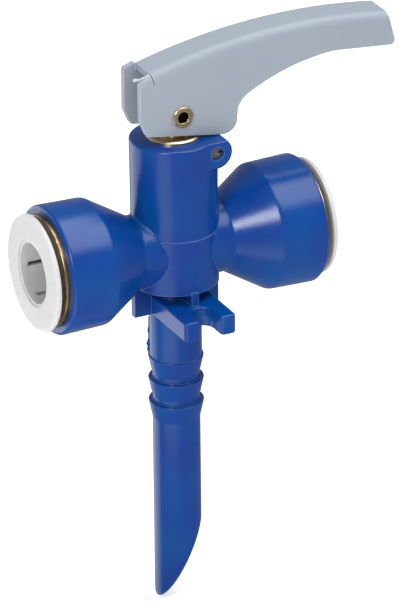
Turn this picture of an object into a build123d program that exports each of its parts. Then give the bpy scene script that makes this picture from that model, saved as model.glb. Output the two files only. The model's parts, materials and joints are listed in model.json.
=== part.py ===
"""Lever drain valve for 12 mm push-fit pipe, in millimetres, +Z up.

The origin is on the valve axis, in the underside of the floor plate. The pipe runs along X above
it, the drain spigot points down, and the lever lies along +X with the valve shut.
"""
import math
import os

from build123d import *

# Clearances
seat_clearance = 0.03      # rings, seals and inserts that sit still in their seats
running_clearance = 0.06   # round pieces that turn or slide in a bore
free_clearance = 0.3       # moving pieces that pass without touching
pipe_clearance = 0.02      # seals and teeth stay this far outside the pipe's bore
cam_clearance = 0.05       # lever's foot over the edge of the bushing

# Pipe run and sockets, measured outwards from the valve axis
pipe_bore_radius = 6.1     # takes a 12 mm pipe
pipe_axis_height = 13.8
pipe_stop = 11.0
pocket_length = 5.5        # plain bore that guides the end of the pipe
stop_ledge = 1.5
neck_wall = 1.25
neck_stub = 0.95           # plain neck between the bonnet and the cone
cone_end = 18.0
socket_mouth = 27.5
socket_wall = 1.42
mouth_draft = 0.25
mouth_rounding = 0.7
neck_blend = 1.5
shoulder_blend = 1.6
seal_cord = 2.5
backup_thickness = 1.6

# Push-fit collets and the brass rings that hold them
ring_wall = 2.25
ring_proud = 0.9
ring_throat_length = 2.4
ring_edge = 0.25
collet_wall = 1.4
collet_play = 0.25
collet_travel = 1.2
right_collet_push = 0.45   # the right collet rests this far in
flange_overhang = 0.45
flange_thickness = 1.0
flange_rounding = 0.65
flange_recess_width = 0.65
flange_recess_depth = 0.3
finger_count = 6
finger_slot = 0.9
finger_web = 2.0           # length behind the flange's face that has no slots
finger_turn = 8.0
tooth_width = 0.6
tooth_depth = 0.9
tooth_rake = 0.35
tooth_gap = 2.4
tooth_setback = 0.9        # from the inner end of the fingers

# Bonnet
bonnet_foot = 0.15         # bonnet below the necks
bonnet_rise = 23.05
bonnet_wall = 3.02
bonnet_draft = 0.2
skirt_rise = 3.85          # top of the bonnet's thicker foot, above the pipe axis
skirt_step = 0.25
skirt_rounding = 0.12
rim_rounding = 0.6
chamber_floor = 1.8        # thickness under the valve chamber
crotch_blend = 0.5

# Retaining pin and its boss
boss_wall = 1.87
boss_drop = 2.35
boss_half_length = 7.5
boss_rounding = 0.4
pin_radius = 1.35
pin_wall = 0.65
pin_slit = 0.4
pin_recess = 0.8
pin_engagement = 0.85

# Brass guide bushing
bushing_wall = 2.65
bushing_proud = 0.65
bushing_length = 10.0
bushing_edge = 0.3
gland_depth = 1.4
gland_width = 1.7
gland_land = 0.8

# Stem, disc and seat
stem_radius = 2.75
seat_overlap = 0.4
disc_thickness = 1.6
washer_thickness = 2.0
seat_lip_height = 0.6
seat_lip_width = 0.8
drain_radius = 3.3
screw_radius = 1.25
screw_depth = 8.0
screw_head_radius = 2.4
screw_head_height = 1.5
driver_slot_width = 0.7
driver_slot_depth = 0.6

# Closing spring
spring_gap = 0.8
spring_wire = 0.9
spring_turns = 6

# Cross ribs and floor plate
rib_thickness = 1.55
rib_stand = 0.65
rib_rise = 0.5
plate_width = 11.0
plate_length = 32.0
plate_thickness = 4.1
plate_corner = 0.9
plate_edge = 0.45
screw_slot_width = 4.4
screw_slot_reach = 6.0

# Drain spigot
spigot_wall = 1.43
spigot_length = 62.2
spigot_cut_angle = 62.1    # slope of the oblique end
column_wall = 1.9
barb_height = 0.83
barb_count = 3
barb_pitch = 4.87
barb_cone = 3.8
first_barb = 9.7
barb_rounding = 0.25

# Lever, with points measured from its pivot
cam_drop = 4.7             # from the pivot to the top of the bushing
sheet = 1.2
bend_radius = 0.5          # inside of the fold
foot_angle = 9.0
front_reach = 8.95
front_rise = 9.1           # full corner of the far wall
front_rounding = 0.9
clip_rise = 8.3            # clipped corner of the near wall
web_front_reach = 6.4
web_front_rise = 9.95
relief_width = 0.2         # slits that free the walls from the fold
relief_depth = 2.3
relief_lean = 15.0
crown_reach = 25.0
crown_rise = 14.5
tip_top_reach = 44.75
tip_top_rise = 13.2
tip_reach = 46.5
tip_rise = 6.25
tip_rounding = 1.0
grip_reach = 33.0
grip_rise = 7.5
grip_blend = 9.0
belly_reach = 22.5
belly_rise = 5.7
throat_reach = 14.4
throat_rise = 2.3
heel_reach = 11.95
heel_drop = 0.4
heel_foot_reach = 11.6
heel_rounding = 2.8
toe_reach = 7.6
toe_rise = 0.5
toe_rounding = 0.8

# Hollow rivet
rivet_radius = 1.55
rivet_wall = 0.45
rivet_head_overlap = 0.6
rivet_head_height = 0.5
rivet_head_rounding = 0.22

# Socket sizes that follow from those above
neck_radius = pipe_bore_radius + neck_wall
flow_bore_radius = pipe_bore_radius - stop_ledge
pocket_end = pipe_stop + pocket_length
seal_bore_radius = pipe_bore_radius + pipe_clearance
seal_radius = seal_bore_radius + seal_cord
seal_pocket_radius = seal_radius + seat_clearance
seal_middle = pocket_end + seat_clearance + seal_cord / 2
backup_start = seal_middle + seal_cord / 2 + seat_clearance
ring_start = backup_start + backup_thickness + seat_clearance
collet_radius = pipe_bore_radius + collet_wall
throat_radius = collet_radius + collet_play
wedge_radius = seal_pocket_radius + free_clearance
ring_radius = wedge_radius + ring_wall
ring_bore_radius = ring_radius + seat_clearance
ring_face = socket_mouth + ring_proud
wedge_end = ring_face - ring_throat_length
socket_radius = ring_bore_radius + socket_wall
mouth_radius = socket_radius + mouth_draft
flange_radius = ring_radius + flange_overhang
flange_back = ring_face + collet_travel + seat_clearance
flange_face = flange_back + flange_thickness
collet_end = ring_start + collet_travel + free_clearance
slot_end = flange_face - finger_web
tooth_start = collet_end + tooth_setback
pipe_axis = Axis((0, 0, pipe_axis_height), (1, 0, 0))

# Bonnet and valve sizes that follow
bonnet_bottom = pipe_axis_height - neck_radius - bonnet_foot
rim_height = pipe_axis_height + bonnet_rise
bushing_bore_radius = stem_radius + running_clearance
bushing_radius = stem_radius + bushing_wall
bonnet_bore_radius = bushing_radius + seat_clearance
bonnet_base_radius = bonnet_bore_radius + bonnet_wall
bonnet_rim_radius = bonnet_base_radius + bonnet_draft
skirt_radius = bonnet_base_radius + skirt_step
skirt_top = pipe_axis_height + skirt_rise
bushing_top = rim_height + bushing_proud
bushing_bottom = bushing_top - bushing_length
pin_hole_radius = pin_radius + seat_clearance
boss_radius = pin_hole_radius + boss_wall
boss_offset = bushing_radius + pin_radius - pin_engagement
boss_height = rim_height - boss_drop
pin_groove_radius = boss_offset - pin_hole_radius
outer_gland_height = bushing_bottom + gland_land + gland_width / 2
inner_gland_height = outer_gland_height + gland_width + gland_land / 2
outer_gland_radius = bushing_radius - gland_depth
inner_gland_radius = bushing_bore_radius + gland_depth
chamber_bottom = bonnet_bottom + chamber_floor
seat_height = chamber_bottom + seat_lip_height
seat_lip_radius = drain_radius + seat_lip_width
disc_radius = seat_lip_radius + seat_overlap
disc_bottom = seat_height + washer_thickness
stem_bottom = disc_bottom + disc_thickness
screw_hole_radius = screw_radius + seat_clearance
spring_radius = stem_radius + spring_gap + spring_wire / 2
spigot_radius = drain_radius + spigot_wall
column_radius = drain_radius + column_wall
barb_radius = spigot_radius + barb_height
rib_reach = bonnet_base_radius + rib_stand
neck_length = bonnet_base_radius + neck_stub

# Lever sizes that follow
pivot_height = bushing_top + cam_drop
lever_half_width = stem_radius + free_clearance + sheet
cam_edge = math.sqrt(bushing_radius**2 - (lever_half_width - sheet) ** 2)
rivet_head_radius = rivet_radius + rivet_head_overlap
lever_plane = Plane(origin=(0, 0, pivot_height), x_dir=(1, 0, 0), z_dir=(0, -1, 0))


def foot_drop(reach):
    """Depth of the lever's sloping foot below the pivot, so that it just clears the bushing."""
    slope = math.tan(math.radians(foot_angle))
    return cam_drop - cam_clearance + (reach - cam_edge) * slope


def socket_plane(side, push=0):
    """Plane through the pipe axis, pushed in: x runs out of the socket and y is the radius."""
    return Plane(origin=(-side * push, 0, pipe_axis_height), x_dir=(side, 0, 0), z_dir=(0, -side, 0))


def socket_section(side, at):
    """Plane square to the pipe axis, facing out of the socket."""
    return Plane(origin=(side * at, 0, pipe_axis_height), x_dir=(0, 1, 0), z_dir=(side, 0, 0))


def corner(sketch, place):
    """The vertex of a sketch nearest to a place."""
    return sketch.vertices().sort_by_distance(place)[0]


def finish(piece, name):
    """Label a piece and write it to its own file."""
    piece.part.label = name
    export_step(piece.part, f"parts/{name}.step")


os.makedirs("parts", exist_ok=True)

# Floor plate with an open screw slot at each end
with BuildPart() as floor_plate:
    with BuildSketch() as plate_outline:
        Rectangle(plate_width, plate_length)
        slot_centre = plate_length / 2 - screw_slot_reach + screw_slot_width / 2
        with Locations((0, slot_centre), (0, -slot_centre)):
            Circle(screw_slot_width / 2, mode=Mode.SUBTRACT)
        open_centre = slot_centre + screw_slot_reach / 2
        with Locations((0, open_centre), (0, -open_centre)):
            Rectangle(screw_slot_width, screw_slot_reach, mode=Mode.SUBTRACT)
        rows = plate_outline.vertices().group_by(Axis.Y)
        fillet(rows[0] + rows[-1], plate_corner)
    extrude(amount=plate_thickness)
    ends = floor_plate.faces().sort_by(Axis.Z)
    fillet(ends[0].edges() + ends[-1].edges(), plate_edge)

# Drain spigot: plain column, barbs for a hose, plain tube and oblique end
with BuildPart() as spigot:
    outline = [(0, bonnet_bottom), (column_radius, bonnet_bottom)]
    radius_above = column_radius
    for barb in range(barb_count):
        top = -first_barb - barb * barb_pitch
        outline += [(radius_above, top), (barb_radius, top), (spigot_radius, top - barb_cone)]
        radius_above = spigot_radius
    outline += [(spigot_radius, -spigot_length), (0, -spigot_length)]
    with BuildSketch(Plane.XZ) as spigot_outline:
        with BuildLine():
            Polyline(*outline, close=True)
        make_face()
        for barb in range(barb_count):
            lip = corner(spigot_outline, (barb_radius, -first_barb - barb * barb_pitch))
            fillet(lip, barb_rounding)
    revolve(axis=Axis.Z)
    slope = math.radians(spigot_cut_angle)
    split(
        bisect_by=Plane(
            origin=(-spigot_radius, 0, -spigot_length),
            x_dir=(0, 1, 0),
            z_dir=(-math.sin(slope), 0, math.cos(slope)),
        ),
        keep=Keep.TOP,
    )

# Boss for the retaining pin, cut off level with the rim
with BuildPart() as pin_boss:
    with BuildSketch(Plane.XZ):
        with Locations((boss_offset, boss_height)):
            Circle(boss_radius)
        with Locations((boss_offset, rim_height)):
            Rectangle(
                2 * boss_radius, boss_radius, align=(Align.CENTER, Align.MIN), mode=Mode.SUBTRACT
            )
    extrude(amount=boss_half_length, both=True)
    ends = pin_boss.faces().sort_by(Axis.Y)
    fillet(ends[0].edges() + ends[-1].edges(), boss_rounding)

# Moulded body: bonnet, two sockets, pin boss, ribs, plate and spigot in one piece
with BuildPart() as valve_body:
    with BuildSketch(Plane.XZ) as bonnet_outline:
        with BuildLine():
            Polyline(
                (0, bonnet_bottom),
                (bonnet_base_radius, bonnet_bottom),
                (bonnet_rim_radius, rim_height),
                (0, rim_height),
                close=True,
            )
        make_face()
        fillet(corner(bonnet_outline, (bonnet_rim_radius, rim_height)), rim_rounding)
    revolve(axis=Axis.Z)
    for side in (-1, 1):
        with BuildSketch(socket_plane(side)) as socket_outline:
            with BuildLine():
                Polyline(
                    (0, 0),
                    (0, neck_radius),
                    (neck_length, neck_radius),
                    (cone_end, socket_radius),
                    (socket_mouth, mouth_radius),
                    (socket_mouth, 0),
                    close=True,
                )
            make_face()
            fillet(corner(socket_outline, (neck_length, neck_radius)), neck_blend)
            fillet(corner(socket_outline, (cone_end, socket_radius)), shoulder_blend)
            fillet(corner(socket_outline, (socket_mouth, mouth_radius)), mouth_rounding)
        revolve(axis=pipe_axis)
    crotch = valve_body.edges().filter_by(lambda e: e.geom_type not in (GeomType.CIRCLE, GeomType.LINE))
    fillet(crotch, crotch_blend)

    # Thicker foot of the bonnet, with a small ledge on top
    with BuildSketch(Plane.XZ) as skirt_outline:
        with BuildLine():
            Polyline(
                (0, bonnet_bottom),
                (skirt_radius, bonnet_bottom),
                (skirt_radius, skirt_top),
                (0, skirt_top),
                close=True,
            )
        make_face()
        fillet(corner(skirt_outline, (skirt_radius, skirt_top)), skirt_rounding)
    revolve(axis=Axis.Z)
    add(pin_boss.part)

    # Cross ribs between the plate and the bonnet
    with BuildSketch():
        Rectangle(2 * rib_reach, rib_thickness)
        Rectangle(rib_thickness, 2 * rib_reach)
    extrude(amount=bonnet_bottom + rib_rise)
    add(floor_plate.part)
    add(spigot.part)

    # Valve chamber, seat lip and drain bore
    with BuildSketch(Plane.XZ):
        with BuildLine():
            Polyline(
                (0, rim_height),
                (bonnet_bore_radius, rim_height),
                (bonnet_bore_radius, chamber_bottom),
                (seat_lip_radius, chamber_bottom),
                (seat_lip_radius, seat_height),
                (drain_radius, seat_height),
                (drain_radius, -spigot_length),
                (0, -spigot_length),
                close=True,
            )
        make_face()
    revolve(axis=Axis.Z, mode=Mode.SUBTRACT)

    # Stepped bore of each socket
    for side in (-1, 1):
        with BuildSketch(socket_plane(side)):
            with BuildLine():
                Polyline(
                    (0, 0),
                    (0, flow_bore_radius),
                    (pipe_stop, flow_bore_radius),
                    (pipe_stop, pipe_bore_radius),
                    (pocket_end, pipe_bore_radius),
                    (pocket_end, seal_pocket_radius),
                    (ring_start, seal_pocket_radius),
                    (ring_start, ring_bore_radius),
                    (socket_mouth, ring_bore_radius),
                    (socket_mouth, 0),
                    close=True,
                )
            make_face()
        revolve(axis=pipe_axis, mode=Mode.SUBTRACT)

    with BuildSketch(Plane.XZ):
        with Locations((boss_offset, boss_height)):
            Circle(pin_hole_radius)
    extrude(amount=boss_half_length, both=True, mode=Mode.SUBTRACT)
finish(valve_body, "valve_body")

# Slotted spring pin that locks the bushing in the bonnet
with BuildPart() as retaining_pin:
    with BuildSketch(Plane.XZ):
        with Locations((boss_offset, boss_height)):
            Circle(pin_radius)
            Circle(pin_radius - pin_wall, mode=Mode.SUBTRACT)
        with Locations((boss_offset + pin_radius, boss_height)):
            Rectangle(2 * pin_radius, pin_slit, mode=Mode.SUBTRACT)
    extrude(amount=boss_half_length - pin_recess, both=True)
finish(retaining_pin, "retaining_pin")

# Brass bushing that guides the stem and carries the lever's cams
with BuildPart() as guide_bushing:
    with BuildSketch(Plane.XZ) as bushing_section:
        with BuildLine():
            Polyline(
                (bushing_bore_radius, bushing_bottom),
                (bushing_radius, bushing_bottom),
                (bushing_radius, bushing_top),
                (bushing_bore_radius, bushing_top),
                close=True,
            )
        make_face()
        chamfer(corner(bushing_section, (bushing_radius, bushing_top)), bushing_edge)
        chamfer(corner(bushing_section, (bushing_radius, bushing_bottom)), bushing_edge)
        with Locations((bushing_radius, boss_height)):
            Rectangle(2 * (bushing_radius - pin_groove_radius), 2 * pin_hole_radius, mode=Mode.SUBTRACT)
        with Locations((bushing_radius, outer_gland_height), (bushing_bore_radius, inner_gland_height)):
            Rectangle(2 * gland_depth, gland_width, mode=Mode.SUBTRACT)
    revolve(axis=Axis.Z)
finish(guide_bushing, "guide_bushing")

# Rubber rings outside and inside the bushing
with BuildPart() as bushing_o_ring:
    cord_radius = (bonnet_bore_radius - outer_gland_radius) / 2
    with BuildSketch(Plane.XZ):
        with Locations((outer_gland_radius + cord_radius, outer_gland_height)):
            Circle(cord_radius - seat_clearance)
    revolve(axis=Axis.Z)
finish(bushing_o_ring, "bushing_o_ring")

with BuildPart() as stem_seal:
    cord_radius = (inner_gland_radius - stem_radius) / 2
    with BuildSketch(Plane.XZ):
        with Locations((stem_radius + cord_radius, inner_gland_height)):
            Circle(cord_radius - running_clearance)
    revolve(axis=Axis.Z)
finish(stem_seal, "stem_seal")

# Closing spring between the disc and the bushing
with BuildPart() as closing_spring:
    coil_bottom = stem_bottom + spring_wire / 2 + running_clearance
    coil_height = bushing_bottom - spring_wire / 2 - running_clearance - coil_bottom
    with BuildLine(Plane.XY.offset(coil_bottom)) as coil:
        Helix(pitch=coil_height / spring_turns, height=coil_height, radius=spring_radius)
    with BuildSketch(Plane(origin=coil.line @ 0, z_dir=coil.line % 0)):
        Circle(spring_wire / 2)
    sweep(path=coil.line, is_frenet=True)
finish(closing_spring, "closing_spring")

# Stem with an eye for the rivet and a tapped foot
with BuildPart() as valve_stem:
    with BuildSketch(Plane.XZ):
        with BuildLine():
            Line((0, stem_bottom), (stem_radius, stem_bottom))
            Line((stem_radius, stem_bottom), (stem_radius, pivot_height))
            CenterArc((0, pivot_height), stem_radius, 0, 90)
            Line((0, pivot_height + stem_radius), (0, stem_bottom))
        make_face()
    revolve(axis=Axis.Z)
    with BuildSketch(lever_plane):
        Circle(rivet_radius + running_clearance)
    extrude(amount=stem_radius, both=True, mode=Mode.SUBTRACT)
    with BuildSketch(Plane.XY.offset(stem_bottom)):
        Circle(screw_hole_radius)
    extrude(amount=screw_depth, mode=Mode.SUBTRACT)
finish(valve_stem, "valve_stem")

# Brass disc and rubber washer that close the drain
with BuildPart() as valve_disc:
    with BuildSketch(Plane.XY.offset(disc_bottom)):
        Circle(disc_radius)
        Circle(screw_hole_radius, mode=Mode.SUBTRACT)
    extrude(amount=disc_thickness)
finish(valve_disc, "valve_disc")

with BuildPart() as seat_washer:
    with BuildSketch(Plane.XY.offset(seat_height)):
        Circle(disc_radius)
        Circle(screw_hole_radius, mode=Mode.SUBTRACT)
    extrude(amount=washer_thickness)
finish(seat_washer, "seat_washer")

# Slotted screw that holds both to the stem
with BuildPart() as seat_screw:
    with BuildSketch(Plane.XY.offset(seat_height)):
        Circle(screw_head_radius)
    extrude(amount=-screw_head_height)
    with BuildSketch(Plane.XY.offset(seat_height - screw_head_height)):
        Rectangle(2 * screw_head_radius, driver_slot_width)
    extrude(amount=driver_slot_depth, mode=Mode.SUBTRACT)
    with BuildSketch(Plane.XY.offset(seat_height)):
        Circle(screw_radius)
    extrude(amount=washer_thickness + disc_thickness + screw_depth - free_clearance)
finish(seat_screw, "seat_screw")

# Space between the walls of the lever, under its web
with BuildPart() as lever_inside:
    with BuildSketch(lever_plane):
        with BuildLine():
            under_web = ThreePointArc(
                (-web_front_reach, web_front_rise - sheet),
                (crown_reach, crown_rise - sheet),
                (tip_top_reach, tip_top_rise - sheet),
            )
            Polyline(
                under_web @ 1,
                (tip_reach, tip_top_rise - sheet),
                (tip_reach, -foot_drop(tip_reach)),
                (-front_reach, -foot_drop(tip_reach)),
                (-front_reach, crown_rise),
                (-web_front_reach, crown_rise),
                under_web @ 0,
            )
        make_face()
    extrude(amount=lever_half_width - sheet, both=True)
    folds = lever_inside.edges().filter_by(GeomType.CIRCLE).sort_by(SortBy.LENGTH)[-2:]
    fillet(folds, bend_radius)

# Lever: one sheet folded into a channel, open below and at both ends
with BuildPart() as lever:
    with BuildSketch(lever_plane) as lever_outline:
        toe = (-toe_reach, -foot_drop(-toe_reach))
        heel = (heel_foot_reach, -foot_drop(heel_foot_reach))
        with BuildLine():
            web = ThreePointArc(
                (-web_front_reach, web_front_rise), (crown_reach, crown_rise), (tip_top_reach, tip_top_rise)
            )
            Polyline(web @ 1, (tip_reach, tip_rise), (grip_reach, grip_rise))
            belly = ThreePointArc(
                (grip_reach, grip_rise), (belly_reach, belly_rise), (throat_reach, throat_rise)
            )
            throat = TangentArc(belly @ 1, (heel_reach, -heel_drop), tangent=belly % 1)
            Polyline(
                throat @ 1,
                heel,
                toe,
                (-front_reach, toe_rise),
                (-front_reach, clip_rise),
                web @ 0,
            )
        make_face()
        fillet(corner(lever_outline, (tip_reach, tip_rise)), tip_rounding)
        fillet(corner(lever_outline, (grip_reach, grip_rise)), grip_blend)
        fillet(corner(lever_outline, heel), heel_rounding)
        fillet(corner(lever_outline, toe), toe_rounding)
    extrude(amount=lever_half_width, both=True)
    folds = lever.edges().filter_by(GeomType.CIRCLE).sort_by(SortBy.LENGTH)[-2:]
    fillet(folds, bend_radius + sheet)
    add(lever_inside.part, mode=Mode.SUBTRACT)
    with BuildSketch(lever_plane.offset(-lever_half_width)) as far_corner:
        with BuildLine():
            Polyline(
                (-front_reach, clip_rise - sheet),
                (-web_front_reach, clip_rise - sheet),
                (-web_front_reach, web_front_rise),
                (-front_reach, front_rise),
                close=True,
            )
        make_face()
        fillet(corner(far_corner, (-front_reach, front_rise)), front_rounding)
    extrude(amount=sheet)
    with BuildSketch(lever_plane):
        Circle(rivet_radius + seat_clearance)
    extrude(amount=lever_half_width, both=True, mode=Mode.SUBTRACT)
    for wall in (-lever_half_width, lever_half_width - sheet):
        with BuildSketch(lever_plane.offset(wall)):
            with Locations((-web_front_reach, web_front_rise)):
                Rectangle(relief_width, 2 * relief_depth, rotation=relief_lean)
        extrude(amount=sheet, mode=Mode.SUBTRACT)
finish(lever, "lever")

# Hollow rivet through both walls of the lever and the eye of the stem
with BuildPart() as pivot_rivet:
    with BuildSketch(Plane(origin=(0, 0, pivot_height), x_dir=(0, 1, 0), z_dir=(1, 0, 0))) as rivet_section:
        head_face = lever_half_width + rivet_head_height
        with BuildLine():
            Polyline(
                (-head_face, rivet_radius - rivet_wall),
                (-head_face, rivet_head_radius),
                (-lever_half_width, rivet_head_radius),
                (-lever_half_width, rivet_radius),
                (lever_half_width, rivet_radius),
                (lever_half_width, rivet_head_radius),
                (head_face, rivet_head_radius),
                (head_face, rivet_radius - rivet_wall),
                close=True,
            )
        make_face()
        for end in (-head_face, head_face):
            for radius in (rivet_radius - rivet_wall, rivet_head_radius):
                fillet(corner(rivet_section, (end, radius)), rivet_head_rounding)
    revolve(axis=Axis((0, 0, pivot_height), (0, 1, 0)))
finish(pivot_rivet, "pivot_rivet")

# Push-fit cartridge of each socket
for name, side, push in (("left", -1, 0), ("right", 1, right_collet_push)):
    with BuildPart() as socket_o_ring:
        with BuildSketch(socket_plane(side)):
            with Locations((seal_middle, seal_bore_radius + seal_cord / 2)):
                Circle(seal_cord / 2)
        revolve(axis=pipe_axis)
    finish(socket_o_ring, f"{name}_o_ring")

    with BuildPart() as backup_ring:
        with BuildSketch(socket_section(side, backup_start)):
            Circle(seal_radius)
            Circle(seal_bore_radius, mode=Mode.SUBTRACT)
        extrude(amount=backup_thickness)
    finish(backup_ring, f"{name}_backup_ring")

    # Brass ring whose inside narrows outwards and squeezes the collet on the pipe
    with BuildPart() as retaining_ring:
        with BuildSketch(socket_plane(side)) as ring_section:
            with BuildLine():
                Polyline(
                    (ring_start, wedge_radius),
                    (ring_start, ring_radius),
                    (ring_face, ring_radius),
                    (ring_face, throat_radius),
                    (wedge_end, throat_radius),
                    close=True,
                )
            make_face()
            fillet(corner(ring_section, (ring_face, ring_radius)), ring_edge)
        revolve(axis=pipe_axis)
    finish(retaining_ring, f"{name}_retaining_ring")

    # Collet with sprung fingers and a flange to press on
    with BuildPart() as collet:
        wedge_slope = (throat_radius - wedge_radius) / (wedge_end - ring_start)
        head_radius = wedge_radius + (collet_end - ring_start) * wedge_slope - free_clearance
        head_end = collet_end + (collet_radius - head_radius) / wedge_slope
        recess_floor = flange_face - flange_recess_depth
        recess_radius = pipe_bore_radius + flange_recess_width
        with BuildSketch(socket_plane(side, push)) as collet_section:
            with BuildLine():
                Polyline(
                    (collet_end, pipe_bore_radius),
                    (collet_end, head_radius),
                    (head_end, collet_radius),
                    (flange_back, collet_radius),
                    (flange_back, flange_radius),
                    (flange_face, flange_radius),
                    (flange_face, recess_radius),
                    (recess_floor, recess_radius),
                    (recess_floor, pipe_bore_radius),
                    close=True,
                )
            make_face()
            fillet(corner(collet_section, (flange_face, flange_radius)), flange_rounding)
        revolve(axis=pipe_axis)
        with BuildSketch(socket_plane(side, push)):
            with Locations((tooth_start + tooth_width / 2, pipe_bore_radius)):
                Rectangle(
                    tooth_width + 2 * seat_clearance,
                    2 * (tooth_depth + pipe_clearance + seat_clearance),
                )
        revolve(axis=pipe_axis, mode=Mode.SUBTRACT)
        with BuildSketch(socket_section(side, slot_end - push)):
            with PolarLocations(pipe_bore_radius, finger_count, start_angle=finger_turn):
                Rectangle(2 * (head_radius - pipe_bore_radius), finger_slot)
        extrude(amount=collet_end - slot_end, mode=Mode.SUBTRACT)
    finish(collet, f"{name}_collet")

    # Steel teeth in the fingers, raked to hold the pipe in
    with BuildPart() as grip_teeth:
        with BuildSketch(socket_plane(side, push)):
            with BuildLine():
                Polyline(
                    (tooth_start, seal_bore_radius),
                    (tooth_start + tooth_width, seal_bore_radius + tooth_rake),
                    (tooth_start + tooth_width, seal_bore_radius + tooth_depth),
                    (tooth_start, seal_bore_radius + tooth_depth),
                    close=True,
                )
            make_face()
        revolve(axis=pipe_axis)
        with BuildSketch(socket_section(side, tooth_start + tooth_width - push)):
            with PolarLocations(pipe_bore_radius, finger_count, start_angle=finger_turn):
                Rectangle(2 * (collet_radius - pipe_bore_radius), tooth_gap)
        extrude(amount=-tooth_width, mode=Mode.SUBTRACT)
    finish(grip_teeth, f"{name}_grip_teeth")
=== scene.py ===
# %% [markdown]
# # A lever drain valve in its real finishes
# The valve's solids come from CAD as a fixed frame, in metres, with +Z up. This lesson gives every
# surface its finish, models the few pieces that are better made by hand, and sets up a small
# photo studio around them. Nothing here moves or reshapes the frame.

# %% Load the frame
import json
import math

import bpy
from mathutils import Matrix, Vector


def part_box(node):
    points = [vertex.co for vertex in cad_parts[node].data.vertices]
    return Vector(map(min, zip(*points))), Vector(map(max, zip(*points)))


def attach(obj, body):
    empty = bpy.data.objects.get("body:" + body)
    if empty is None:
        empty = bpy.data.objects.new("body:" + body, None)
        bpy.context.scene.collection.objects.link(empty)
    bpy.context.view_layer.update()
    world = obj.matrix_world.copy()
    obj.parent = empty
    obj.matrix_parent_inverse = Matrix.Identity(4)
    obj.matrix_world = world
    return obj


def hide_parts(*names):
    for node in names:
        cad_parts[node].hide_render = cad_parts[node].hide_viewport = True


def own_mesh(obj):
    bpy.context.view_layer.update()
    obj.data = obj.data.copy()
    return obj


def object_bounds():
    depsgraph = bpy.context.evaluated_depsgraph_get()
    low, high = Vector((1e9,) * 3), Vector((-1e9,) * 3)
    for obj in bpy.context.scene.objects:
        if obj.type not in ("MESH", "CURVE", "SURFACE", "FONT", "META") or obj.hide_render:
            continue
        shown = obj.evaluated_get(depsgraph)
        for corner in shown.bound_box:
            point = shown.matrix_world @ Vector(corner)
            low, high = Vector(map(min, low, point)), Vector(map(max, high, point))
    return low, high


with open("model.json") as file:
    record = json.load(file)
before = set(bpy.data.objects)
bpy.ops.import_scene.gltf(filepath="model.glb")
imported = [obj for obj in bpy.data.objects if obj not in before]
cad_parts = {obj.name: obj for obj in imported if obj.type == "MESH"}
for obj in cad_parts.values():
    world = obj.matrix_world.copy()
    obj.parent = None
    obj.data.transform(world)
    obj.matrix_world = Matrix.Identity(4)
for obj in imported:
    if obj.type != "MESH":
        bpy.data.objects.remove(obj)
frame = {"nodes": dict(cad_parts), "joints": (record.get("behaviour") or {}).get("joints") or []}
cad_low, cad_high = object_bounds()
MM = 0.001

# %% [markdown]
# ## Shader maths as Python
# A finish is a net of nodes, and most of them only add, scale or mix numbers. One small class wraps
# a node's output, so that `0.3 + 0.1 * grain` adds the Math nodes by itself. Any other node comes
# from its `node` method: the kind of node, its inputs, and its settings as keywords.

# %% A class for shader sockets
class Shade:
    """One output of a material's nodes, for use in expressions."""

    def __init__(self, tree, socket=None):
        self.tree = tree
        self.socket = socket

    def node(self, kind, inputs=None, output=0, **settings):
        """Add a node, set it up, fill its inputs with values or links, and return one output."""
        made = self.tree.nodes.new("ShaderNode" + kind)
        for name, value in settings.items():
            setattr(made, name, value)
        for name, value in (inputs or {}).items():
            if isinstance(value, Shade):
                self.tree.links.new(value.socket, made.inputs[name])
            else:
                made.inputs[name].default_value = value
        return Shade(self.tree, made.outputs[output])

    def maths(self, operation, *terms):
        """A Math node with numbers or shades as its terms."""
        return self.node("Math", dict(enumerate(terms)), operation=operation)

    def __add__(self, other):
        return self.maths("ADD", self, other)

    def __sub__(self, other):
        return self.maths("SUBTRACT", self, other)

    def __mul__(self, other):
        return self.maths("MULTIPLY", self, other)

    __radd__ = __add__
    __rmul__ = __mul__

# %% [markdown]
# ## What every finish shares
# Each finish starts from a Principled shader. Patterns are read from Object coordinates, which are
# the frame's metres here, so a noise of scale 1000 has features about a millimetre across. Real
# edges are never razor sharp: a Bevel node rounds the shading by a fraction of a millimetre. Where
# that rounded normal departs from the true one there is an edge, which can take another colour: a
# painted highlight on the plastic, the brass and the lever's coat.

# %% Helpers for finishes
def new_finish(name):
    """A new material, its Principled shader and a Shade to build nodes from."""
    material = bpy.data.materials.new(name)
    material.use_nodes = True
    return material, material.node_tree.nodes["Principled BSDF"], Shade(material.node_tree)


def noise(shade, place, feature, detail=2.0, rough=0.5):
    """Cloudy values from 0 to 1 whose features have a given size in metres."""
    inputs = {"Vector": place, "Scale": 1 / feature, "Detail": detail, "Roughness": rough}
    return shade.node("TexNoise", inputs)


def mix_colours(shade, factor, first, second):
    """Go from the first colour to the second as the factor goes from 0 to 1."""
    first, second = (c if isinstance(c, Shade) else (*c, 1) for c in (first, second))
    return shade.node("Mix", {0: factor, 6: first, 7: second}, output=2, data_type="RGBA")


# this edge mask places the painted highlights along edges
def along_edges(shade, radius):
    """1 along edges and 0 elsewhere, from how far a bevel of a given radius turns the normal."""
    rounded = shade.node("Bevel", {"Radius": radius}, samples=6)
    flat = shade.node("NewGeometry", output="Normal")
    agree = shade.node(
        "VectorMath", {0: rounded, 1: flat}, output="Value", operation="DOT_PRODUCT",
    )
    return shade.node("MapRange", {"Value": agree, "From Min": 0.99, "From Max": 0.85})


def relief(shade, height, depth, edge):
    """Normal of a surface with small relief of a given depth, and edges rounded to a radius."""
    rounded = shade.node("Bevel", {"Radius": edge}, samples=6)
    return shade.node("Bump", {"Height": height, "Distance": depth, "Normal": rounded})


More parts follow.
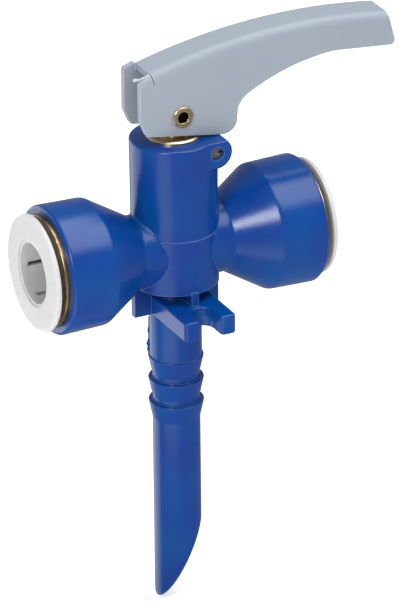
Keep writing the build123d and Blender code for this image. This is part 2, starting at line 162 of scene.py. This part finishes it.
def feed(shade, shader, **sockets):
    """Link shades to a shader's inputs, or set plain numbers on them."""
    for name, value in sockets.items():
        target = shader.inputs[name.replace("_", " ")]
        if isinstance(value, Shade):
            shade.tree.links.new(value.socket, target)
        else:
            target.default_value = value


def wear(finish, *node_names):
    """Give CAD nodes a finish."""
    for name in node_names:
        for slot in frame["nodes"][name].material_slots:
            slot.material = finish
    print(finish.name, "on", ", ".join(node_names))

# %% [markdown]
# ## Blue moulded plastic
# The body is one moulding of dyed nylon with a soft gloss and a very fine skin from the mould. A
# flat blue would look like a drawing. So its colour drifts between two near blues, as where the
# melt flowed, and the same noises vary the gloss by a few percent. Along the edges the colour is
# painted paler, a painted highlight where the edges catch the light.

# %% Blue plastic
DEEP_BLUE = (0.003, 0.036, 0.215)
CLEAR_BLUE = (0.0, 0.051, 0.232)
# painted highlight colour, mixed in along the edges
EDGE_HIGHLIGHT_BLUE = (0.16, 0.28, 0.62)


def blue_plastic():
    finish, shader, shade = new_finish("blue_plastic")
    place = shade.node("TexCoord", output="Object")
    clouds = noise(shade, place, 12 * MM)
    skin = noise(shade, place, 0.35 * MM, detail=3)
    drift = 4 * clouds - 1.5  # most of the noise lies near 0.5, so this uses the whole range
    colour = mix_colours(shade, drift, DEEP_BLUE, CLEAR_BLUE)
    # painted highlight: the colour turns paler along the edges, where they catch the light
    colour = mix_colours(shade, 0.6 * along_edges(shade, 0.25 * MM), colour, EDGE_HIGHLIGHT_BLUE)
    feed(
        shade, shader, Base_Color=colour, Roughness=0.16 + 0.06 * clouds + 0.06 * skin,
        Specular_IOR_Level=0.35,
        Normal=relief(shade, skin, 0.02 * MM, 0.08 * MM),
    )
    return finish


blue = blue_plastic()
wear(blue, "valve_body")

# %% [markdown]
# ## White acetal
# The collets are moulded in a slippery white plastic, nearly smooth. It is a little waxy: light
# enters it and comes out a millimetre or two away, which fills the bore and softens the edges, so
# the shader scatters part of the light below the surface.

# %% White acetal
SHADED_WHITE = (0.47, 0.47, 0.475)
CLEAN_WHITE = (0.55, 0.55, 0.55)


def white_acetal():
    finish, shader, shade = new_finish("white_acetal")
    place = shade.node("TexCoord", output="Object")
    clouds = noise(shade, place, 0.8 * MM, detail=3)
    skin = noise(shade, place, 0.25 * MM, detail=3)
    colour = mix_colours(shade, clouds, SHADED_WHITE, CLEAN_WHITE)
    feed(
        shade, shader, Base_Color=colour, Roughness=0.38 + 0.1 * skin,
        Subsurface_Weight=0.7, Subsurface_Radius=(1, 1, 1), Subsurface_Scale=2 * MM,
        Normal=relief(shade, skin, 0.004 * MM, 0.15 * MM),
    )
    return finish


wear(white_acetal(), "left_collet", "right_collet", "left_backup_ring", "right_backup_ring")

# %% [markdown]
# ## Turned brass
# Brass pieces come off a lathe with fine grooves around their axis. A Wave texture of rings about
# that axis gives the grooves, so each direction of turning has its own finish: the bushing and the
# stem stand upright, the rings lie along the pipe, and the rivet lies across the lever. The rings
# are painted darker, a painted shade under the collet flanges, and the upright brass and the
# rivet's head are made lighter. The edges are painted pale, a painted highlight, and the hollow of
# the rivet is painted dark, a painted shade.

# %% Turned brass
GROOVE = 0.12 * MM
RING_SPACING = 0.314  # metres between the rings of a Wave texture of scale 1
DULL_BRASS = (0.20, 0.13, 0.06)
CLEAN_BRASS = (0.90, 0.72, 0.45)
# painted highlight colour along the brass edges
EDGE_HIGHLIGHT_BRASS = (0.95, 0.88, 0.70)
# painted shade colour for the hollow of the rivet
PAINTED_HOLLOW_SHADE = (0.12, 0.08, 0.035)


def turned_brass(name, direction, centre, edge=0.1 * MM, hollow=0.0, lightness_shift=0.0):
    """Brass turned about an axis through a centre, painted dark within a hollow's radius as painted
    shade.
    """
    finish, shader, shade = new_finish(name)
    place = shade.node("TexCoord", output="Object")
    centred = shade.node("Mapping", {"Vector": place, "Location": [-c for c in centre]})
    rings = {"Scale": RING_SPACING / GROOVE, "Distortion": 1.5, "Detail": 2, "Detail Scale": 3}
    grooves = shade.node(
        "TexWave", {"Vector": centred, **rings},
        output="Fac", wave_type="RINGS", rings_direction=direction,
    )
    stain = noise(shade, place, 2.5 * MM, detail=4)
    # lightness_shift moves the colour towards the darker or the cleaner brass
    colour = mix_colours(shade, stain + lightness_shift, DULL_BRASS, CLEAN_BRASS)
    # painted highlight: the brass turns pale cream along the edges
    colour = mix_colours(shade, along_edges(shade, 0.2 * MM), colour, EDGE_HIGHLIGHT_BRASS)
    # painted shade: the hollow of the rivet is painted dark
    if hollow:
        across = shade.node("VectorMath", {0: centred, 1: (1, 0, 1)}, operation="MULTIPLY")
        reach = shade.node("VectorMath", {0: across}, output="Value", operation="LENGTH")
        colour = mix_colours(shade, shade.maths("LESS_THAN", reach, hollow), colour, PAINTED_HOLLOW_SHADE)
    feed(
        shade, shader, Base_Color=colour, Metallic=1.0,
        Roughness=0.2 + 0.12 * stain + 0.06 * grooves,
        Normal=relief(shade, grooves, 0.004 * MM, edge),
    )
    return finish


collet_low, collet_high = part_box("left_collet")
pipe_centre = (0, 0, (collet_low.z + collet_high.z) / 2)
rivet_low, rivet_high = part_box("pivot_rivet")
rivet_centre = (rivet_low + rivet_high) / 2
wear(
    turned_brass("brass_upright", "Z", (0, 0, 0), lightness_shift=0.15),
    "guide_bushing", "valve_stem", "valve_disc",
)
# painted shade: the rings are painted darker, as the collet flanges shade them
wear(
    turned_brass("brass_along_pipe", "X", pipe_centre, lightness_shift=-0.3),
    "left_retaining_ring", "right_retaining_ring",
)
wear(
    turned_brass(
        "brass_across_lever", "Y", rivet_centre, edge=0.35 * MM, hollow=1.15 * MM, lightness_shift=0.25,
    ),
    "pivot_rivet",
)

# %% [markdown]
# ## Grey lever coat
# The lever is sprayed or dipped after folding, so its coat is thin on the cut edges, rounds them,
# and has a slight orange-peel waviness. The edges are painted paler, a painted highlight.

# %% Grey coat
COAT_GREY = (0.252, 0.288, 0.335)
# painted highlight colour along the lever's edges
EDGE_HIGHLIGHT_GREY = (0.56, 0.60, 0.67)


def grey_coat(name, coat, edge):
    finish, shader, shade = new_finish(name)
    place = shade.node("TexCoord", output="Object")
    clouds = noise(shade, place, 12 * MM, detail=3)
    peel = noise(shade, place, 0.6 * MM, detail=2)
    colour = mix_colours(shade, clouds, coat, [1.08 * part for part in coat])
    # painted highlight: the coat turns paler along the edges
    colour = mix_colours(shade, 0.7 * along_edges(shade, 0.3 * MM), colour, edge)
    feed(
        shade, shader, Base_Color=colour, Roughness=0.48 + 0.1 * clouds,
        Normal=relief(shade, peel, 0.012 * MM, 0.22 * MM),
    )
    return finish


wear(grey_coat("grey_coat", COAT_GREY, EDGE_HIGHLIGHT_GREY), "lever")

# %% [markdown]
# ## Steel and rubber
# The spring pin, its end rough from shearing, the teeth, the spring and the screw are plain steel.
# The seals are black rubber, dull with a dusting of grease.

# %% Steel and rubber
DARK_STEEL = (0.08, 0.07, 0.065)
PALE_STEEL = (0.72, 0.68, 0.63)
RUBBER = (0.012, 0.012, 0.013)
DUSTY_RUBBER = (0.03, 0.03, 0.032)


def bare_steel():
    finish, shader, shade = new_finish("bare_steel")
    place = shade.node("TexCoord", output="Object")
    patches = noise(shade, place, 0.5 * MM, detail=4, rough=0.7)
    colour = mix_colours(shade, patches, DARK_STEEL, PALE_STEEL)
    feed(
        shade, shader, Base_Color=colour, Metallic=1.0, Roughness=0.2 + 0.3 * patches,
        Normal=relief(shade, patches, 0.05 * MM, 0.1 * MM),
    )
    return finish


def black_rubber():
    finish, shader, shade = new_finish("black_rubber")
    place = shade.node("TexCoord", output="Object")
    dust = noise(shade, place, 1.5 * MM, detail=4)
    colour = mix_colours(shade, dust, RUBBER, DUSTY_RUBBER)
    feed(
        shade, shader, Base_Color=colour, Roughness=0.55 + 0.2 * dust,
        Normal=relief(shade, dust, 0.01 * MM, 0.1 * MM),
    )
    return finish


steel = bare_steel()
wear(steel, "retaining_pin", "seat_screw", "left_grip_teeth", "right_grip_teeth")
wear(
    black_rubber(),
    "left_o_ring", "right_o_ring", "bushing_o_ring", "stem_seal", "seat_washer",
)

# %% [markdown]
# ## Closing spring
# A coil of steel wire presses the valve shut. It is wound in place of the CAD spring, which is
# hidden. The real spring shortens when the lever lifts the stem, which a rigid solid can't do, and
# this coil keeps its length.

# %% Closing spring
SPRING_WIRE = 0.9 * MM
SPRING_TURNS = 6
spring_low, spring_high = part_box("closing_spring")
spring_length = spring_high.z - spring_low.z

bpy.ops.object.select_all(action="DESELECT")
bpy.ops.mesh.primitive_circle_add(
    vertices=16, radius=SPRING_WIRE / 2, rotation=(math.pi / 2, 0, 0),
    location=(spring_high.x - SPRING_WIRE / 2, 0, spring_low.z + SPRING_WIRE / 2),
)
coil = bpy.context.object
coil.name = "closing_coil"
bpy.ops.object.transform_apply()
winding = coil.modifiers.new("winding", "SCREW")
winding.screw_offset = (spring_length - SPRING_WIRE) / SPRING_TURNS
winding.iterations = SPRING_TURNS
winding.steps = winding.render_steps = 32
bpy.ops.object.modifier_apply(modifier=winding.name)

bpy.ops.object.mode_set(mode="EDIT")
bpy.ops.mesh.select_all(action="SELECT")
bpy.ops.mesh.remove_doubles(threshold=0.001 * MM)
bpy.ops.mesh.fill_holes(sides=0)
bpy.ops.mesh.normals_make_consistent(inside=False)
bpy.ops.object.mode_set(mode="OBJECT")
bpy.ops.object.shade_smooth_by_angle(angle=math.radians(40))
coil.data.materials.append(steel)

lift = next(joint["range_m"][1] for joint in frame["joints"] if joint["name"] == "stem_lift")
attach(coil, "body")
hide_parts("closing_spring")
1 - lift / spring_length
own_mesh(coil)
print("closing_coil:", len(coil.data.polygons), "faces,", round(spring_length / MM, 2), "mm long")

# %% [markdown]
# ## Core of the spring pin
# The spring pin is rolled from strip, and its inner turn fills the bore almost to the ends, where
# the sheared metal shows. A cylinder is the start. Its two ends are selected by their facing, inset
# and pushed in to a dimple, and the sharp rims are then selected by angle and bevelled.

# %% Pin core
CORE_RADIUS = 0.66 * MM
CORE_RECESS = 0.1 * MM
CORE_DIMPLE = 0.25 * MM
CORE_BEVEL = 0.08 * MM
pin_low, pin_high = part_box("retaining_pin")

bpy.ops.object.select_all(action="DESELECT")
bpy.ops.mesh.primitive_cylinder_add(
    vertices=24, radius=CORE_RADIUS, depth=pin_high.y - pin_low.y - 2 * CORE_RECESS,
    rotation=(math.pi / 2, 0, 0), location=(pin_low + pin_high) / 2,
)
core = bpy.context.object
core.name = "pin_core"
bpy.ops.object.transform_apply()
bpy.ops.object.mode_set(mode="EDIT")
bpy.ops.mesh.select_mode(type="FACE")
bpy.ops.mesh.select_all(action="DESELECT")
bpy.ops.object.mode_set(mode="OBJECT")
for face in core.data.polygons:
    face.select = abs(face.normal.y) > 0.9
bpy.ops.object.mode_set(mode="EDIT")
bpy.ops.mesh.inset(thickness=CORE_RADIUS / 2, depth=0)
bpy.ops.mesh.extrude_faces_move(TRANSFORM_OT_shrink_fatten={"value": -CORE_DIMPLE})
bpy.ops.mesh.select_mode(type="EDGE")
bpy.ops.mesh.select_all(action="DESELECT")
bpy.ops.mesh.edges_select_sharp(sharpness=math.radians(60))
bpy.ops.mesh.bevel(offset=CORE_BEVEL, segments=2)
bpy.ops.mesh.select_all(action="SELECT")
bpy.ops.mesh.normals_make_consistent(inside=False)
bpy.ops.object.mode_set(mode="OBJECT")
bpy.ops.object.shade_smooth_by_angle(angle=math.radians(40))
core.data.materials.append(steel)
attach(core, "body")
print("pin_core:", len(core.data.polygons), "faces")

# %% [markdown]
# ## Torn burr on the lever
# Where the lever's top begins, a short slit frees each wall from the fold. On the near wall the
# metal tore there and left a pale, lumpy burr along the inner edge. A small disc is extruded from
# lump to lump and scaled at each one, as one would do by hand, and a Subdivision Surface rounds the
# lumps.

# %% Torn burr
def lumpy_bead(name, place, turn, radius, lumps):
    """A bead through lumps, each given by a step in mm and its size relative to the last one."""
    bpy.ops.object.select_all(action="DESELECT")
    bpy.ops.mesh.primitive_circle_add(
        vertices=8, radius=radius, fill_type="NGON", rotation=turn, location=place,
    )
    bead = bpy.context.object
    bead.name = name
    bpy.ops.object.transform_apply()
    bpy.ops.object.mode_set(mode="EDIT")
    for *step, growth in lumps:
        step = Vector(step) * MM
        place = place + step
        bpy.ops.mesh.extrude_region_move(TRANSFORM_OT_translate={"value": step})
        bpy.ops.transform.resize(value=(growth,) * 3, center_override=place)
    bpy.ops.mesh.select_all(action="SELECT")
    bpy.ops.mesh.normals_make_consistent(inside=False)
    bpy.ops.object.mode_set(mode="OBJECT")
    rounding = bead.modifiers.new("rounding", "SUBSURF")
    rounding.levels = rounding.render_levels = 2
    bpy.ops.object.modifier_apply(modifier=rounding.name)
    bpy.ops.object.shade_smooth()
    print(name + ":", len(bead.data.polygons), "faces")
    return bead


TORN_METAL = (0.43, 0.47, 0.52)
BURR_RADIUS = 0.2 * MM
BURR_START = (-6.4, -3.4, 9.6)  # in mm from the axis of the rivet, at the middle of the lever
BURR_LUMPS = (  # step in X, Y and Z, then growth
    (-0.5, 0.2, -0.1, 1.5),
    (-0.4, 0.1, -0.2, 0.6),
    (-0.5, 0.1, -0.25, 1.9),
    (-0.5, 0.2, -0.25, 0.5),
    (-0.5, 0.4, -0.1, 2.3),
    (-0.45, 0.2, -0.05, 1.0),
    (-0.2, 0.1, -0.05, 0.5),
)
burr_place = Vector(BURR_START) * MM + Vector((0, 0, rivet_centre.z))
burr = lumpy_bead("torn_burr", burr_place, (0, math.pi / 2, 0), BURR_RADIUS, BURR_LUMPS)
burr.data.materials.append(grey_coat("torn_coat", TORN_METAL, TORN_METAL))
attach(burr, "handle")

# %% [markdown]
# ## Flash on the column
# Below the floor plate, plastic has crept between the halves of the mould and left a ragged line
# down the column. It is the same kind of bead, half sunk in the column, in the body's own blue.

# %% Flash on the column
FLASH_RADIUS = 0.14 * MM
FLASH_START = (-4.67, 2.28, -1.6)  # in mm, on the column's surface below the plate
FLASH_LUMPS = (  # step in X, Y and Z, then growth
    (0, 0, -1.5, 1.3),
    (0, 0, -1.2, 0.8),
    (0, 0, -0.5, 3.6),
    (0, 0, -0.5, 0.35),
    (0, 0, -1.2, 1.0),
    (0, 0, -0.8, 2.8),
    (0, 0, -0.5, 1.5),
    (0, 0, -0.5, 0.35),
    (0, 0, -0.6, 2.4),
    (0, 0, -0.6, 0.5),
)
flash_place = Vector(FLASH_START) * MM
flash = lumpy_bead("column_flash", flash_place, (0, 0, 0), FLASH_RADIUS, FLASH_LUMPS)
flash.data.materials.append(blue)
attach(flash, "body")

# %% [markdown]
# ## Floor
# The tip of the spigot stands just above a pale floor that runs out of the picture. The gloss on
# the real valve shows a few lights in dark surroundings, so the floor is left out of reflections.

# %% Floor
FLOOR_GAP = 1 * MM
bpy.ops.object.select_all(action="DESELECT")
bpy.ops.mesh.primitive_plane_add(size=12, location=(0, 0, cad_low.z - FLOOR_GAP))
floor = bpy.context.object
floor.name = "floor"
floor_finish, floor_shader, floor_shade = new_finish("pale_floor")
feed(
    floor_shade, floor_shader, Base_Color=(0.9, 0.9, 0.9, 1), Roughness=0.9,
    Emission_Color=(1, 1, 1, 1), Emission_Strength=0.18,
)
floor.data.materials.append(floor_finish)
floor.visible_glossy = False

# %% [markdown]
# ## Light
# Each light has its own reflection to make. The key light stands left of the camera, above it, and
# gives the bright patch on the right-hand cone. A large one overhead lights the top of the lever. A
# low one behind on the left makes the left edges pale, and a dim strip on the floor at the front
# left draws a band down the round faces.

# %% Light
AIM = Vector((4.7, -1.7, 1.2)) * MM
SURROUNDINGS = 0.3


def area_light(name, place, turn, length, width, power):
    """A rectangular light that the camera itself doesn't see."""
    light = bpy.data.lights.new(name, "AREA")
    light.shape = "RECTANGLE"
    light.size, light.size_y = length, width
    light.energy = power
    lamp = bpy.data.objects.new(name, light)
    bpy.context.scene.collection.objects.link(lamp)
    lamp.visible_camera = False
    lamp.location = place
    lamp.rotation_euler = turn
    print(name, "at", [round(x, 2) for x in lamp.location])


def softbox(name, direction, distance, size, power):
    """A square light that faces the valve from a direction."""
    back = Vector(direction).normalized()
    turn = back.to_track_quat("Z", "Y").to_euler()
    area_light(name, AIM + back * distance, turn, size, size, power)


softbox("key_light", (-0.635, -0.564, 0.538), distance=1.0, size=0.29, power=5.2)
softbox("top_light", (0.35, -0.12, 0.93), distance=1.4, size=1.5, power=28)
softbox("back_light", (-0.52, 0.8, -0.2), distance=0.3, size=0.3, power=0.4)

STRIP_WAY = Vector((-0.706, -0.569, 0)).normalized()
STRIP_START, STRIP_END, STRIP_WIDTH = 0.07, 0.45, 0.13
area_light(
    "floor_strip",
    place=STRIP_WAY * (STRIP_START + STRIP_END) / 2 + Vector((0, 0, cad_low.z)),
    turn=(math.pi, 0, math.atan2(STRIP_WAY.y, STRIP_WAY.x)),
    length=STRIP_END - STRIP_START, width=STRIP_WIDTH, power=0.17,
)

world = bpy.data.worlds.new("studio")
world.use_nodes = True
background = world.node_tree.nodes["Background"].inputs
background["Color"].default_value = (1, 1, 1, 1)
background["Strength"].default_value = SURROUNDINGS
bpy.context.scene.world = world
bpy.context.scene.view_settings.view_transform = "Standard"

# %% [markdown]
# ## Camera
# The photo was taken from the front left, looking down, with a long lens and the camera turned by
# a little over half a degree.

# %% Camera
AZIMUTH, ELEVATION, ROLL = math.radians(-26), math.radians(25), math.radians(-0.6)
DISTANCE = 1.2
LENS, SENSOR = 367, 36
camera_data = bpy.data.cameras.new("camera")
camera_data.lens = LENS
camera_data.sensor_width = SENSOR
camera = bpy.data.objects.new("camera", camera_data)
bpy.context.scene.collection.objects.link(camera)
back = Vector((
    math.sin(AZIMUTH) * math.cos(ELEVATION),
    -math.cos(AZIMUTH) * math.cos(ELEVATION),
    math.sin(ELEVATION),
))
turn = back.to_track_quat("Z", "Y").to_matrix().to_4x4() @ Matrix.Rotation(ROLL, 4, "Z")
camera.matrix_world = Matrix.Translation(AIM + back * DISTANCE) @ turn
bpy.context.scene.camera = camera
print("camera at", [round(x, 2) for x in camera.matrix_world.translation])
